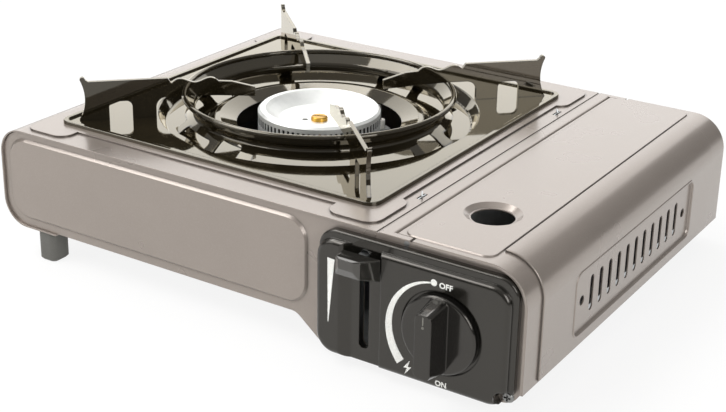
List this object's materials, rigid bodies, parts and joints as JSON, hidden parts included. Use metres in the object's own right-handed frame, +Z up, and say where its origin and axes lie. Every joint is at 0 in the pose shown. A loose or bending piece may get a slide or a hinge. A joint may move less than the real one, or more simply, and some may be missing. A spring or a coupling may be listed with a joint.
{
  "type": "portable gas stove",
  "caption": "Flat portable gas stove: burner with pan arms on a lift-off enamel tray, hinged lid over the cartridge bay, turning knob, and a lock lever that draws the docking yoke.",
  "frame": {"origin": "on the table, under the middle of the stove's bounding box", "axes": "+X to the right along the front, +Y to the rear, +Z up; the knob faces -Y"},
  "size_m": [0.34, 0.28, 0.1056],
  "materials": {
    "casing_paint": "warm grey metallic paint on sheet steel",
    "zinc_sheet": "zinc plated sheet steel",
    "spring_steel": "bright steel",
    "screw_steel": "plated steel",
    "panel_plastic": "dark grey moulded plastic, fine grain",
    "knob_plastic": "black moulded plastic",
    "foot_rubber": "grey moulded rubber",
    "lead_sleeve": "pale insulated lead",
    "black_enamel": "glossy black porcelain enamel on steel",
    "burner_alloy": "cast and turned aluminium",
    "brass": "turned brass",
    "insulator": "white glazed insulator"
  },
  "bodies": {
    "casing": {"top_shell": "casing_paint", "front_plate": "casing_paint", "rear_plate": "casing_paint", "bottom_pan": "zinc_sheet", "control_panel": "panel_plastic", "foot_front_left": "foot_rubber", "foot_rear_left": "foot_rubber", "foot_front_right": "foot_rubber", "foot_rear_right": "foot_rubber", "heat_shield": "zinc_sheet", "cartridge_cradle": "zinc_sheet", "cartridge_spring": "spring_steel", "gas_valve": "burner_alloy", "inlet_nozzle": "brass", "inlet_seal": "foot_rubber", "injector": "brass", "mixing_tube": "burner_alloy", "burner_base": "burner_alloy", "burner_cap": "burner_alloy", "burner_bolt": "brass", "electrode": "spring_steel", "electrode_insulator": "insulator", "igniter_lead": "lead_sleeve", "piezo_igniter": "knob_plastic", "yoke_guide": "zinc_sheet", "hinge_pin_front": "spring_steel", "hinge_pin_rear": "spring_steel", "case_screws": "screw_steel", "valve_screws": "screw_steel", "burner_screws": "screw_steel"},
    "dial": {"knob": "knob_plastic", "knob_spindle": "spring_steel", "striker_cam": "knob_plastic"},
    "lever": {"lever_tab": "panel_plastic", "lock_slide": "zinc_sheet"},
    "yoke": {"docking_yoke": "zinc_sheet"},
    "plunger": {"igniter_plunger": "knob_plastic"},
    "lid": {"cartridge_lid": "casing_paint"},
    "pan_support": {"drip_tray": "black_enamel", "windshield_ring": "black_enamel", "pan_arm_front_right": "black_enamel", "pan_arm_rear_right": "black_enamel", "pan_arm_rear_left": "black_enamel", "pan_arm_front_left": "black_enamel"}
  },
  "joints": [
    {"name": "knob_turn", "type": "hinge", "parent": "casing", "child": "dial", "pos_m": [0.1265, -0.117, 0.037], "axis": [0, -1, 0], "range_deg": [0, 150]},
    {"name": "lever_slide", "type": "slide", "parent": "casing", "child": "lever", "axis": [0, 0, -1], "range_m": [0, 0.038]},
    {"name": "yoke_slide", "type": "slide", "parent": "casing", "child": "yoke", "axis": [0, -1, 0], "range_m": [0, 0.006]},
    {"name": "plunger_press", "type": "slide", "parent": "casing", "child": "plunger", "axis": [-1, 0, 0], "range_m": [0, 0.003], "stiffness_N_per_m": 400},
    {"name": "lid_hinge", "type": "hinge", "parent": "casing", "child": "lid", "pos_m": [0.102, 0.0115, 0.075], "axis": [0, -1, 0], "range_deg": [0, 95]},
    {"name": "tray_lift", "type": "slide", "parent": "casing", "child": "pan_support", "axis": [0, 0, 1], "range_m": [0, 0.1]}
  ],
  "couplings": [
    {"joint": "yoke_slide", "follows": "lever_slide", "ratio": 0.15789}
  ]
}
